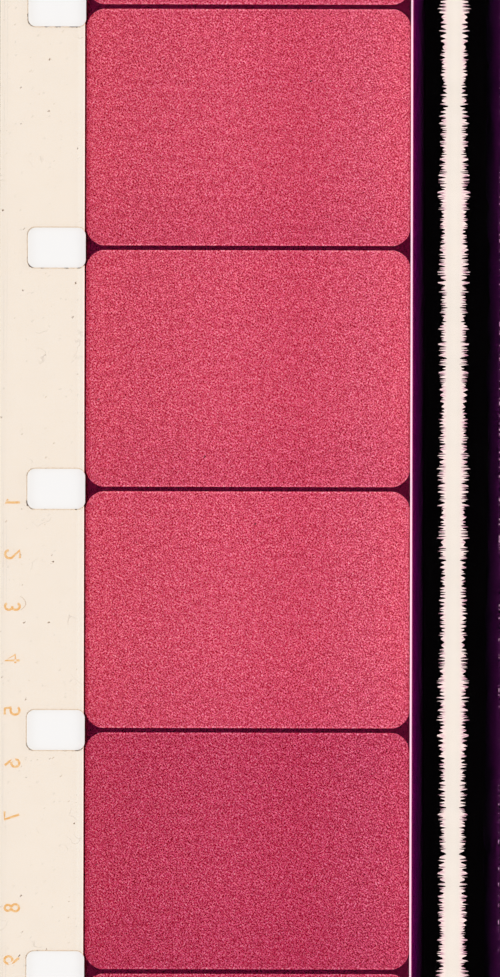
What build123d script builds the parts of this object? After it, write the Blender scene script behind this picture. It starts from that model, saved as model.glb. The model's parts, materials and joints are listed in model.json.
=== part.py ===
"""A strip of 16 mm colour print film with one row of perforations and an optical soundtrack.

The strip is six frames long and lies flat, base side down.
X runs across the film, from the perforated edge to the soundtrack edge.
Y runs along the film, with frame 1 at the +Y end.
Z runs up through the coats, from the support to the overcoat.
The film is one flexible sheet. Here it is divided at each frame line, so that the frames can turn
on one another as the film curls. Each frame is a laminate of thin coats on an acetate support.
"""

import math
import os

from build123d import *

# The gauge of the film
FRAMES = 6
FRAME_PITCH = 7.62
FILM_WIDTH = 15.95
PERFORATION_WIDTH = 1.829
PERFORATION_HEIGHT = 1.27
PERFORATION_CORNER = 0.25
PERFORATION_TO_EDGE = 0.902

# The thickness of each layer, from the underside up
SUPPORT_THICKNESS = 0.132
YELLOW_THICKNESS = 0.006
CYAN_THICKNESS = 0.006
TOP_DYE_THICKNESS = 0.006
OVERCOAT_THICKNESS = 0.002

# The dark surround of the pictures: its overlap with the perforations, the line that it makes
# beside each picture, and the frame line from one picture to the next
SURROUND_OVERLAP = 0.031
SURROUND_LINE = 0.04
FRAME_LINE_WIDTH = 0.13
PICTURE_CORNER = 0.63

# The soundtrack, working inwards from the edge of the film to the picture
OUTER_BAND_WIDTH = 0.48
SILVER_WIDTH = 2.02
INNER_BAND_WIDTH = 0.375
CLEAR_LINE_WIDTH = 0.075

# The trace in the silver, with its middle measured from the silver's inner side
TRACE_FROM_SILVER = 0.91
TRACE_HALF_WIDTH = 0.36
TRACE_SWING = 0.11
TRACE_TEETH = 45

# The numbers printed in the margin, from the middle of the strip on. One row of them fills the
# first frame there and runs on into the next, where a pair of them ends at the frame line
DIGITS_IN_FRAME = 5
DIGITS_IN_ROW = 7
DIGITS_IN_PAIR = 2
FIRST_DIGIT_FROM_LINE = 0.41
LAST_DIGIT_FROM_LINE = 0.61
PAIR_END_FROM_LINE = 0.35
DIGIT_HEIGHT = 0.54
DIGIT_WIDTH = 0.36
DIGIT_STROKE = 0.07
DIGIT_TO_EDGE = 0.17

# How far the film bends at each frame line, and the play that stays open there at the limit
BEND_LIMIT = 45.0
BEND_PLAY = 0.004

# Places that follow from the sizes above
FILM_THICKNESS = (
    SUPPORT_THICKNESS + YELLOW_THICKNESS + CYAN_THICKNESS + TOP_DYE_THICKNESS + OVERCOAT_THICKNESS
)
YELLOW_BOTTOM = SUPPORT_THICKNESS
CYAN_BOTTOM = YELLOW_BOTTOM + YELLOW_THICKNESS
TOP_DYE_BOTTOM = CYAN_BOTTOM + CYAN_THICKNESS
OVERCOAT_BOTTOM = TOP_DYE_BOTTOM + TOP_DYE_THICKNESS
HALF_GAP = FILM_THICKNESS / 2 * math.tan(math.radians(BEND_LIMIT / 2)) + BEND_PLAY
FILM_LEFT = -FILM_WIDTH / 2
FILM_RIGHT = FILM_WIDTH / 2
PERFORATION_X = FILM_LEFT + PERFORATION_TO_EDGE + PERFORATION_WIDTH / 2
SURROUND_X = PERFORATION_X + PERFORATION_WIDTH / 2 - SURROUND_OVERLAP
PICTURE_LEFT = SURROUND_X + SURROUND_LINE
SILVER_RIGHT = FILM_RIGHT - OUTER_BAND_WIDTH
SILVER_LEFT = SILVER_RIGHT - SILVER_WIDTH
INNER_BAND_LEFT = SILVER_LEFT - INNER_BAND_WIDTH
PICTURE_RIGHT = INNER_BAND_LEFT - CLEAR_LINE_WIDTH
PICTURE_WIDTH = PICTURE_RIGHT - PICTURE_LEFT
PICTURE_HEIGHT = FRAME_PITCH - FRAME_LINE_WIDTH
TRACE_X = SILVER_LEFT + TRACE_FROM_SILVER
DIGIT_PITCH = (FRAME_PITCH - FIRST_DIGIT_FROM_LINE - LAST_DIGIT_FROM_LINE) / (DIGITS_IN_FRAME - 1)

# The bars that make up each number, in the order top, upper left, upper right, middle, lower left,
# lower right, bottom
DIGIT_BARS = {
    1: (0, 0, 1, 0, 0, 1, 0),
    2: (1, 0, 1, 1, 1, 0, 1),
    3: (1, 0, 1, 1, 0, 1, 1),
    4: (0, 1, 1, 1, 0, 1, 0),
    5: (1, 1, 0, 1, 0, 1, 1),
    6: (1, 1, 0, 1, 1, 1, 1),
    7: (1, 0, 1, 0, 0, 1, 0),
    8: (1, 1, 1, 1, 1, 1, 1),
    9: (1, 1, 1, 1, 0, 1, 1),
}


def frame_top(frame):
    """The Y of a frame's upper frame line."""
    return (FRAMES / 2 - frame + 1) * FRAME_PITCH


def frame_middle(frame):
    """The Y of a frame's middle."""
    return frame_top(frame) - FRAME_PITCH / 2


def frame_span(frame):
    """The lowest and highest Y of a frame's solids, with the gap at each frame line left open."""
    top = frame_top(frame) - (HALF_GAP if frame > 1 else 0)
    bottom = frame_top(frame + 1) + (HALF_GAP if frame < FRAMES else 0)
    return bottom, top


def strip_of_frame(frame, left, right):
    """A rectangle over a frame's whole length, from one X to another."""
    bottom, top = frame_span(frame)
    with BuildSketch() as strip:
        with Locations(((left + right) / 2, (bottom + top) / 2)):
            Rectangle(right - left, top - bottom)
    return strip.sketch


def cut_perforations(frame):
    """Cuts the two half perforations, one at each frame line, out of the sketch being drawn."""
    with Locations((PERFORATION_X, frame_top(frame)), (PERFORATION_X, frame_top(frame + 1))):
        RectangleRounded(
            PERFORATION_WIDTH, PERFORATION_HEIGHT, PERFORATION_CORNER, mode=Mode.SUBTRACT
        )


def wobble(index):
    """A repeatable number from 0 to 1 that jumps about as the index grows."""
    return math.sin(index * 12.9898) * 43758.5453 % 1.0


def trace_edge(frame, side):
    """The points down one edge of the sound trace, side -1 for the left edge and 1 for the right."""
    bottom, top = frame_span(frame)
    steps = 2 * TRACE_TEETH
    points = []
    for step in range(steps + 1):
        swing = TRACE_SWING * wobble((FRAMES - frame) * steps + step) * (1 if step % 2 else -1)
        y = bottom + (top - bottom) * step / steps
        points.append((TRACE_X + side * (TRACE_HALF_WIDTH + swing), y))
    return points


def digit_places():
    """Every printed number with the Y of its middle, in the order in which they follow the film."""
    first_y = -FIRST_DIGIT_FROM_LINE
    row = [(place + 1, first_y - place * DIGIT_PITCH) for place in range(DIGITS_IN_ROW)]
    last_y = -2 * FRAME_PITCH + PAIR_END_FROM_LINE
    pair = [
        (DIGITS_IN_ROW + place + 1, last_y + (DIGITS_IN_PAIR - 1 - place) * DIGIT_PITCH)
        for place in range(DIGITS_IN_PAIR)
    ]
    return row + pair


def digits_on_frame(frame):
    """The numbers whose middles lie on a frame, as pairs of the number and its Y."""
    return [
        (digit, y) for digit, y in digit_places() if frame_top(frame + 1) < y < frame_top(frame)
    ]


def draw_digits(frame, mode):
    """Adds or cuts a frame's numbers. They read from the base side, with their tops at the edge."""
    reach = DIGIT_HEIGHT / 2 - DIGIT_STROKE / 2
    half = DIGIT_WIDTH / 2 - DIGIT_STROKE / 2
    middle = FILM_LEFT + DIGIT_TO_EDGE + DIGIT_HEIGHT / 2
    for digit, y in digits_on_frame(frame):
        top, upper_left, upper_right, centre, lower_left, lower_right, bottom = DIGIT_BARS[digit]
        for shown, x in ((top, middle - reach), (centre, middle), (bottom, middle + reach)):
            if shown:
                with Locations((x, y)):
                    Rectangle(DIGIT_STROKE, DIGIT_WIDTH, mode=mode)
        for shown, x, across in (
            (upper_left, middle - reach / 2, half),
            (upper_right, middle - reach / 2, -half),
            (lower_left, middle + reach / 2, half),
            (lower_right, middle + reach / 2, -half),
        ):
            if shown:
                with Locations((x, y + across)):
                    Rectangle(reach + DIGIT_STROKE, DIGIT_STROKE, mode=mode)


def full_coat(frame, bottom, thickness):
    """A layer over the whole width of a frame, with its half perforations."""
    with BuildPart() as coat:
        with BuildSketch(Plane.XY.offset(bottom)):
            add(strip_of_frame(frame, FILM_LEFT, FILM_RIGHT))
            cut_perforations(frame)
        extrude(amount=thickness)
    return coat.part


def picture_outline(frame, mode):
    """Adds or cuts the picture area of a frame."""
    with Locations(((PICTURE_LEFT + PICTURE_RIGHT) / 2, frame_middle(frame))):
        RectangleRounded(PICTURE_WIDTH, PICTURE_HEIGHT, PICTURE_CORNER, mode=mode)


def picture(frame):
    """The dye image of one picture."""
    with BuildPart() as image:
        with BuildSketch(Plane.XY.offset(TOP_DYE_BOTTOM)):
            picture_outline(frame, Mode.ADD)
        extrude(amount=TOP_DYE_THICKNESS)
    return image.part


def surround(frame):
    """The dark dye around a picture, which makes the frame lines and the picture's corners."""
    with BuildPart() as dark:
        with BuildSketch(Plane.XY.offset(TOP_DYE_BOTTOM)):
            add(strip_of_frame(frame, SURROUND_X, PICTURE_RIGHT))
            cut_perforations(frame)
            picture_outline(frame, Mode.SUBTRACT)
        extrude(amount=TOP_DYE_THICKNESS)
    return dark.part


def clear_gelatin(frame):
    """The undyed gelatin: the margin around the numbers, the line beside the picture, the trace."""
    with BuildPart() as clear:
        with BuildSketch(Plane.XY.offset(TOP_DYE_BOTTOM)):
            add(strip_of_frame(frame, FILM_LEFT, SURROUND_X))
            cut_perforations(frame)
            draw_digits(frame, Mode.SUBTRACT)
            add(strip_of_frame(frame, PICTURE_RIGHT, INNER_BAND_LEFT))
            with BuildLine():
                Polyline(*trace_edge(frame, -1), *reversed(trace_edge(frame, 1)), close=True)
            make_face()
        extrude(amount=TOP_DYE_THICKNESS)
    return clear.part


def silver_track(frame):
    """The black silver on both sides of the trace."""
    bottom, top = frame_span(frame)
    with BuildPart() as silver:
        with BuildSketch(Plane.XY.offset(TOP_DYE_BOTTOM)):
            for side, outer in ((-1, SILVER_LEFT), (1, SILVER_RIGHT)):
                with BuildLine():
                    Polyline((outer, bottom), *trace_edge(frame, side), (outer, top), close=True)
                make_face()
        extrude(amount=TOP_DYE_THICKNESS)
    return silver.part


def track_dye(frame):
    """The two dark dye bands, one on each side of the silver."""
    with BuildPart() as bands:
        with BuildSketch(Plane.XY.offset(TOP_DYE_BOTTOM)):
            add(strip_of_frame(frame, INNER_BAND_LEFT, SILVER_LEFT))
            add(strip_of_frame(frame, SILVER_RIGHT, FILM_RIGHT))
        extrude(amount=TOP_DYE_THICKNESS)
    return bands.part


def edge_numbers(frame):
    """The dye numbers in a frame's margin."""
    with BuildPart() as numbers:
        with BuildSketch(Plane.XY.offset(TOP_DYE_BOTTOM)):
            draw_digits(frame, Mode.ADD)
        extrude(amount=TOP_DYE_THICKNESS)
    return numbers.part


def write_piece(piece, name):
    """Labels a finished piece and writes its STEP file."""
    piece.label = name
    export_step(piece, f"parts/{name}.step")


def write_frame(frame):
    """Makes and writes every piece of one frame."""
    write_piece(full_coat(frame, 0, SUPPORT_THICKNESS), f"support_{frame}")
    write_piece(full_coat(frame, YELLOW_BOTTOM, YELLOW_THICKNESS), f"yellow_coat_{frame}")
    write_piece(full_coat(frame, CYAN_BOTTOM, CYAN_THICKNESS), f"cyan_coat_{frame}")
    write_piece(picture(frame), f"picture_{frame}")
    write_piece(surround(frame), f"surround_{frame}")
    write_piece(clear_gelatin(frame), f"clear_gelatin_{frame}")
    write_piece(silver_track(frame), f"silver_track_{frame}")
    write_piece(track_dye(frame), f"track_dye_{frame}")
    write_piece(full_coat(frame, OVERCOAT_BOTTOM, OVERCOAT_THICKNESS), f"overcoat_{frame}")
    if digits_on_frame(frame):
        write_piece(edge_numbers(frame), f"edge_numbers_{frame}")


os.makedirs("parts", exist_ok=True)
for number in range(1, FRAMES + 1):
    write_frame(number)
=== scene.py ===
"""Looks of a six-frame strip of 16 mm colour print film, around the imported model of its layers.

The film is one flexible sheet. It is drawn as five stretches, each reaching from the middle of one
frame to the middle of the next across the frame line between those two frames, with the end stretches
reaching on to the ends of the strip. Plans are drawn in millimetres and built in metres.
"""

import json
import logging
import math
from dataclasses import dataclass, field
from enum import Enum
from typing import Callable, Iterable

import bpy
import numpy as np
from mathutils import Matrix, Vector
from mathutils.geometry import delaunay_2d_cdt

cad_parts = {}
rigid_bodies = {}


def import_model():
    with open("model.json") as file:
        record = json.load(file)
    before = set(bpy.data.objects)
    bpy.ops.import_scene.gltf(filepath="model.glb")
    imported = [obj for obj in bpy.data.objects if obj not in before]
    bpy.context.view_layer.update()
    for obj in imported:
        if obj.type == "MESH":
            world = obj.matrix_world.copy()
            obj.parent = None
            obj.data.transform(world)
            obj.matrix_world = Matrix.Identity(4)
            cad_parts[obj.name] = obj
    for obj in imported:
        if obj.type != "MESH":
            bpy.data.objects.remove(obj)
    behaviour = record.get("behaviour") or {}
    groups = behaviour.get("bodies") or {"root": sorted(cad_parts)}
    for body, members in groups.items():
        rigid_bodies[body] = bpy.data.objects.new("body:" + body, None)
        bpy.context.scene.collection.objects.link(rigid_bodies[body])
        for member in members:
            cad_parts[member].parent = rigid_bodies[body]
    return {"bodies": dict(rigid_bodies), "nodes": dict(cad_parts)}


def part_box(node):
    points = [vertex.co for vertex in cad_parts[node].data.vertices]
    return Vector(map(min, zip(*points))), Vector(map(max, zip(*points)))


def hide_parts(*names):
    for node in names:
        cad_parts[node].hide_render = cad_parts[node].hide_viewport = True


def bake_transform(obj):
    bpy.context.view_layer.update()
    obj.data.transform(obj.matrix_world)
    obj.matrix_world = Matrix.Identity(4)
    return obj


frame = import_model()

log = logging.getLogger("film")

MM = 0.001
Point = tuple[float, float]
Ring = list[Point]
Colour = tuple[float, float, float]
Wave = tuple[float, float, float]

UNTINTED: Colour = (1.0, 1.0, 1.0)


# ---------------------------------------------------------------- colours


def linear(red: float, green: float, blue: float) -> Colour:
    """Turns a colour as it is seen, 0 to 255 a channel, into linear light.

    Args:
        red: The red channel.
        green: The green channel.
        blue: The blue channel.

    Returns:
        The same colour as linear values from 0 to 1.
    """

    def channel(value: float) -> float:
        """Undoes the display curve of one channel."""
        share = value / 255
        return share / 12.92 if share <= 0.04045 else ((share + 0.055) / 1.055) ** 2.4

    return channel(red), channel(green), channel(blue)


LIGHT_TABLE = linear(247, 245, 244)
TABLE_GLOW = 0.7


def film_tint(red: float, green: float, blue: float) -> Colour:
    """The tint of the whole film where it shows a colour over the light table.

    The glow of the table passes the film once. The rest of the light falls on the table from above
    and passes it twice.

    Args:
        red: The red channel of the colour as seen, 0 to 255.
        green: The green channel.
        blue: The blue channel.

    Returns:
        The linear tint, at most 1 a channel.
    """
    lamps = 1 - TABLE_GLOW
    tints = []
    for seen, table in zip(linear(red, green, blue), LIGHT_TABLE):
        share = min(1.0, seen / table)
        tints.append((math.sqrt(TABLE_GLOW**2 + 4 * lamps * share) - TABLE_GLOW) / (2 * lamps))
    return tuple(tints)


CLEAR_FILM = film_tint(247, 236, 224)


def dye(red: float, green: float, blue: float) -> Colour:
    """The tint of one face of a dyed coat where the film shows a colour over the light table.

    A ray passes both faces of the coat, so each face holds the square root of its tint.

    Args:
        red: The red channel of the colour as seen, 0 to 255.
        green: The green channel.
        blue: The blue channel.

    Returns:
        The linear tint of one face.
    """
    whole = film_tint(red, green, blue)
    return tuple(min(1.0, tint / clear) ** 0.5 for tint, clear in zip(whole, CLEAR_FILM))


MARGIN_FRINGE = dye(203, 89, 89)


# ---------------------------------------------------------------- the plan of the film


@dataclass(frozen=True)
class Perforation:
    """The punched hole that a sprocket tooth enters, in millimetres."""

    width: float = 1.829
    height: float = 1.27
    corner: float = 0.25
    to_edge: float = 0.902


@dataclass(frozen=True)
class FilmPlan:
    """The places of everything on the film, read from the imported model, in millimetres."""

    left: float
    right: float
    bottom: float
    top: float
    frames: int
    surround_left: float
    picture_left: float
    picture_right: float
    picture_height: float
    inner_band_left: float
    silver_left: float
    silver_right: float
    levels: tuple[float, ...]
    picture_corner: float = 0.63
    trace_from_silver: float = 0.91
    perforation: Perforation = field(default_factory=Perforation)

    @classmethod
    def read(cls) -> "FilmPlan":
        """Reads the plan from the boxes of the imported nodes.

        Returns:
            The plan.
        """
        frames = len(frame["bodies"])
        first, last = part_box("support_1"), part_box(f"support_{frames}")
        surround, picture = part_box("surround_2"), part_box("picture_2")
        dye_bands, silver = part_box("track_dye_2"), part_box("silver_track_2")
        tops = [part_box(f"{name}_2")[1][2] for name in ("support", "yellow_coat", "cyan_coat")]
        tops += [picture[1][2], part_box("overcoat_2")[1][2]]
        return cls(
            left=first[0][0] / MM,
            right=first[1][0] / MM,
            bottom=last[0][1] / MM,
            top=first[1][1] / MM,
            frames=frames,
            surround_left=surround[0][0] / MM,
            picture_left=picture[0][0] / MM,
            picture_right=picture[1][0] / MM,
            picture_height=(picture[1][1] - picture[0][1]) / MM,
            inner_band_left=dye_bands[0][0] / MM,
            silver_left=silver[0][0] / MM,
            silver_right=silver[1][0] / MM,
            levels=(0.0, *(top / MM for top in tops)),
        )

    @property
    def pitch(self) -> float:
        """The length of one frame."""
        return (self.top - self.bottom) / self.frames

    @property
    def perforation_x(self) -> float:
        """The X of the row of perforations."""
        return self.left + self.perforation.to_edge + self.perforation.width / 2

    @property
    def trace_x(self) -> float:
        """The X of the middle of the sound trace."""
        return self.silver_left + self.trace_from_silver

    def frame_line(self, number: int) -> float:
        """The Y of the frame line above a frame, the first of which is frame 1."""
        return self.top - (number - 1) * self.pitch

    def frame_middle(self, number: int) -> float:
        """The Y of the middle of a frame."""
        return self.frame_line(number) - self.pitch / 2


# ---------------------------------------------------------------- outlines


def wobble(index: int, salt: float = 0.0) -> float:
    """A repeatable number from 0 to 1 that jumps about as the index grows."""
    return math.sin(index * 12.9898 + salt * 78.233) * 43758.5453 % 1.0


def sway(y: float, waves: Iterable[Wave]) -> float:
    """The sum of slow waves along the film, each given by its size, rate and start."""
    return sum(size * math.sin(y * rate + start) for size, rate, start in waves)


def rectangle(left: float, right: float, bottom: float, top: float) -> Ring:
    """The four corners of a rectangle."""
    return [(left, bottom), (right, bottom), (right, top), (left, top)]


def rounded(x: float, y: float, width: float, height: float, corner: float) -> Ring:
    """A rectangle with rounded corners.

    Args:
        x: The X of its middle.
        y: The Y of its middle.
        width: Its size along X.
        height: Its size along Y.
        corner: The radius of its corners.

    Returns:
        The ring of its points, anticlockwise.
    """
    steps = 10
    ring = []
    for quarter, (sx, sy) in enumerate(((1, 1), (-1, 1), (-1, -1), (1, -1))):
        cx, cy = x + sx * (width / 2 - corner), y + sy * (height / 2 - corner)
        for step in range(steps + 1):
            angle = math.pi / 2 * (quarter + step / steps)
            ring.append((cx + corner * math.cos(angle), cy + corner * math.sin(angle)))
    return ring


def ribbon(line: list[Point], width: float) -> Ring:
    """The outline of a pen stroke of even width along a line of points.

    Args:
        line: The points along the middle of the stroke.
        width: The width of the stroke.

    Returns:
        The ring of its points.
    """
    left, right = [], []
    for index, (x, y) in enumerate(line):
        before, after = line[max(index - 1, 0)], line[min(index + 1, len(line) - 1)]
        along = Vector((after[0] - before[0], after[1] - before[1])).normalized()
        left.append((x - along.y * width / 2, y + along.x * width / 2))
        right.append((x + along.y * width / 2, y - along.x * width / 2))
    return left + right[::-1]


@dataclass
class Outline:
    """An area of the film: inside any of its solid rings and outside all of its holes."""

    solids: list[Ring]
    holes: list[Ring] = field(default_factory=list)

    @staticmethod
    def within(ring: Ring, points: np.ndarray) -> np.ndarray:
        """Tells for each point whether it lies in a ring, by counting crossings to its right.

        Args:
            ring: The ring.
            points: The points to test.

        Returns:
            True for each point inside.
        """
        corners = np.array(ring)
        following = np.roll(corners, -1, axis=0)
        inside = np.zeros(len(points), bool)
        for (x0, y0), (x1, y1) in zip(corners, following):
            if y0 == y1:
                continue
            crosses = (points[:, 1] < y0) != (points[:, 1] < y1)
            inside ^= crosses & (points[:, 0] < x0 + (points[:, 1] - y0) * (x1 - x0) / (y1 - y0))
        return inside

    def contains(self, points: np.ndarray) -> np.ndarray:
        """Tells for each point whether it lies in the area.

        Args:
            points: The points to test.

        Returns:
            True for each point in the area.
        """
        found = np.zeros(len(points), bool)
        for ring in self.solids:
            found |= self.within(ring, points)
        for ring in self.holes:
            found &= ~self.within(ring, points)
        return found


@dataclass
class SoundTrace:
    """The clear trace in the silver, whose two edges mirror one another and carry the sound."""

    plan: FilmPlan
    half_width: float = 0.34
    shortest_step: float = 0.010
    step_spread: float = 0.11
    peak: float = 0.173
    valley: float = 0.135
    roughness: float = 0.05
    mismatch: float = 0.012
    drift: tuple[Wave, ...] = ((0.020, 0.83, 1.1), (0.014, 2.9, 0.0))

    def steps(self) -> list[tuple[float, float]]:
        """The Y and the swing of the corners of the sound's teeth, from the bottom of the film up.

        Returns:
            Each corner's Y and how far it swings out, in millimetres.
        """
        points = [(self.plan.bottom, 0.0)]
        y, index = self.plan.bottom, 0
        while y < self.plan.top - self.shortest_step - self.step_spread:
            slow = sway(y, self.drift)
            loud = 0.85 + 0.25 * math.sin(y * 1.7 + 0.4) * math.sin(y * 0.57)
            out = self.peak * (0.15 + 0.85 * wobble(index, 1))
            height = out if index % 2 else -self.valley * (0.1 + 0.9 * wobble(index, 2))
            length = self.shortest_step + self.step_spread * wobble(index, 3) ** 2
            points.append((y + 0.25 * length, slow + loud * height))
            points.append((y + 0.60 * length, slow + loud * height * 0.85))
            y += length
            index += 1
        points.append((self.plan.top, points[-1][1]))
        return points

    def edge(self, side: int) -> list[Point]:
        """The points of one edge, from the bottom up.

        Args:
            side: -1 for the edge towards the picture and 1 for the other.

        Returns:
            The points of the edge, in millimetres.
        """
        points = []
        for index, (y, swing) in enumerate(self.steps()):
            rough = self.roughness * (wobble(index, 5) - 0.5)
            rough += self.mismatch * (wobble(index, 4 + side) - 0.5)
            points.append((self.plan.trace_x + side * (self.half_width + swing + rough), y))
        return points

    def ring(self) -> Ring:
        """The outline of the whole trace."""
        return self.edge(1) + self.edge(-1)[::-1]


@dataclass
class MarginNumbers:
    """The plain numbers that run down the margin, mirrored, with their tops to the film's edge."""

    plan: FilmPlan
    height: float = 0.54
    width: float = 0.36
    stroke: float = 0.075
    first_frame: int = 4
    first_from_line: float = 0.42
    pitch: float = 1.65
    in_row: int = 7
    in_pair: int = 2
    last_from_line: float = 0.35

    def strokes(self, digit: int) -> list[list[Point]]:
        """The pen lines of one number, in a box that is 1 wide and 1.5 high.

        Args:
            digit: The number, from 1 to 9.

        Returns:
            The lines, each as its points.
        """

        def arc(x: float, y: float, radius: float, start: float, end: float) -> list[Point]:
            """Points along a round stretch, with its angles in degrees."""
            turns = [math.radians(start + (end - start) * step / 10) for step in range(11)]
            return [(x + radius * math.cos(turn), y + radius * math.sin(turn)) for turn in turns]

        pens = {
            1: [[(0.2, 1.2), (0.55, 1.5), (0.55, 0.0)]],
            2: [arc(0.5, 1.05, 0.45, 170, -30) + [(0.05, 0.0), (0.95, 0.0)]],
            3: [arc(0.48, 1.12, 0.38, 150, -90), arc(0.48, 0.4, 0.4, 90, -150)],
            4: [[(0.7, 0.0), (0.7, 1.5), (0.05, 0.45), (1.0, 0.45)]],
            5: [[(0.9, 1.5), (0.2, 1.5), (0.12, 0.85)] + arc(0.45, 0.46, 0.46, 110, -140)],
            6: [[(0.75, 1.5), (0.3, 1.0), (0.08, 0.5)] + arc(0.5, 0.42, 0.42, 180, 540)],
            7: [[(0.05, 1.5), (0.95, 1.5), (0.4, 0.0)]],
            8: [arc(0.5, 1.14, 0.34, -90, 270), arc(0.5, 0.4, 0.4, 90, 450)],
            9: [[(0.25, 0.0), (0.7, 0.5), (0.92, 1.0)] + arc(0.5, 1.08, 0.42, 0, 360)],
        }
        return pens[digit]

    def places(self) -> list[tuple[int, float]]:
        """Each number with the Y of its middle.

        Returns:
            The numbers from the first to the last.
        """
        start = self.plan.frame_line(self.first_frame) - self.first_from_line
        end = self.plan.frame_line(self.first_frame + 2) + self.last_from_line
        row = [start - step * self.pitch for step in range(self.in_row)]
        pair = [end + step * self.pitch for step in range(self.in_pair)][::-1]
        return list(enumerate(row + pair, start=1))

    def rings(self) -> list[Ring]:
        """The outlines of all strokes of all numbers.

        Returns:
            One ring for each stroke.
        """
        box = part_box(f"edge_numbers_{self.first_frame}")
        x_top = box[0][0] / MM + self.stroke / 2
        tall, wide = self.height - self.stroke, self.width - self.stroke
        rings = []
        for digit, y in self.places():
            for line in self.strokes(digit):
                placed = [
                    (x_top + (1 - up / 1.5) * tall, y - (across - 0.5) * wide)
                    for across, up in line
                ]
                rings.append(ribbon(placed, self.stroke))
        return rings


# ---------------------------------------------------------------- meshes


class Face(Enum):
    """Which side of a slab a face is on."""

    TOP = 0
    BOTTOM = 1
    WALL = 2


@dataclass(frozen=True)
class Stretch:
    """A length of film that reaches across the frame line between two frames."""

    number: int
    bottom: float
    top: float
    bend: float
    reach: float = 1.3

    @property
    def frames(self) -> tuple[int, int]:
        """The frames above and below its frame line."""
        return self.number, self.number + 1

    def cuts(self) -> list[float]:
        """The Y of each line across the film where its mesh may bend, and of its two ends.

        Returns:
            The values of Y, in millimetres.
        """
        steps = 16
        bends = [self.bend + self.reach * (2 * step / steps - 1) for step in range(steps + 1)]
        return [self.bottom, *bends, self.top]

    def bind(self, piece: bpy.types.Object) -> None:
        """Bakes the placement of a finished piece into its mesh.

        Args:
            piece: The piece, which lies flat.
        """
        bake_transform(piece)

    @classmethod
    def all_of(cls, plan: FilmPlan) -> list["Stretch"]:
        """Divides the film into its stretches, from the top down.

        Args:
            plan: The plan of the film.

        Returns:
            The stretches.
        """
        stretches = []
        for number in range(1, plan.frames):
            top = plan.top if number == 1 else plan.frame_middle(number)
            last = number == plan.frames - 1
            bottom = plan.bottom if last else plan.frame_middle(number + 1)
            stretches.append(cls(number, bottom, top, plan.frame_line(number + 1)))
        return stretches


@dataclass
class Cutting:
    """A flat sheet cut to an outline and divided into triangles."""

    points: np.ndarray
    triangles: np.ndarray

    @classmethod
    def of(cls, outline: Outline, cuts: list[float]) -> "Cutting":
        """Cuts an outline.

        Args:
            outline: The area to keep.
            cuts: The Y of each line that no triangle may cross.

        Returns:
            The sheet in triangles.
        """
        points, edges = [], []
        for ring in [*outline.solids, *outline.holes]:
            first = len(points)
            points += ring
            edges += [(first + i, first + (i + 1) % len(ring)) for i in range(len(ring))]
        across = [x for x, _ in points]
        for y in cuts:
            edges.append((len(points), len(points) + 1))
            points += [(min(across) - 1, y), (max(across) + 1, y)]
        flat = [Vector(point) for point in points]
        found = delaunay_2d_cdt(flat, edges, [], 0, 1e-6, False)
        corners = np.array([tuple(point) for point in found[0]])
        triangles = np.array(found[2])
        middles = corners[triangles].mean(axis=1)
        return cls(corners, triangles[outline.contains(middles)])

    def between(self, bottom: float, top: float) -> np.ndarray:
        """The triangles whose middles lie between two values of Y."""
        middles = self.points[self.triangles].mean(axis=1)[:, 1]
        return self.triangles[(middles > bottom) & (middles < top)]


def slab(
    name: str,
    points: np.ndarray,
    triangles: np.ndarray,
    low: float,
    high: float,
    slot_of: Callable[[Face, np.ndarray], int],
) -> bpy.types.Object:
    """Builds a closed flat plate from triangles.

    Args:
        name: The name of the new object.
        points: The plan's points, in millimetres.
        triangles: The corners of each triangle, anticlockwise.
        low: The Z of the underside, in millimetres.
        high: The Z of the upper side.
        slot_of: Gives the material slot of a face from its side and its middle in plan.

    Returns:
        The new object, with its plan coordinates as a UV map named plan.
    """
    used, small = np.unique(triangles, return_inverse=True)
    small = small.reshape(-1, 3)
    plan = points[used]
    count = len(plan)
    edges = {(int(a), int(b)) for tri in small for a, b in zip(tri, np.roll(tri, -1))}
    rims = sorted(edge for edge in edges if edge[::-1] not in edges)
    faces = [tuple(int(i) for i in tri) for tri in small]
    sides = [Face.TOP] * len(faces)
    faces += [tuple(int(i) + count for i in tri[::-1]) for tri in small]
    sides += [Face.BOTTOM] * len(small)
    faces += [(a + count, b + count, b, a) for a, b in rims]
    sides += [Face.WALL] * len(rims)
    corners = [(x * MM, y * MM, high * MM) for x, y in plan]
    corners += [(x * MM, y * MM, low * MM) for x, y in plan]
    mesh = bpy.data.meshes.new(name)
    mesh.from_pydata(corners, [], faces)
    uv = mesh.uv_layers.new(name="plan")
    both = np.vstack([plan, plan])
    indices = np.array([i for face in faces for i in face])
    uv.data.foreach_set("uv", both[indices].astype(np.float32).ravel())
    middles = [both[list(face)].mean(axis=0) for face in faces]
    slots = [slot_of(side, middle) for side, middle in zip(sides, middles)]
    mesh.polygons.foreach_set("material_index", np.array(slots, np.int32))
    mesh.update()
    piece = bpy.data.objects.new(name, mesh)
    bpy.context.scene.collection.objects.link(piece)
    return piece


# ---------------------------------------------------------------- shader nodes

Socket = bpy.types.NodeSocket
Value = float | Socket


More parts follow.
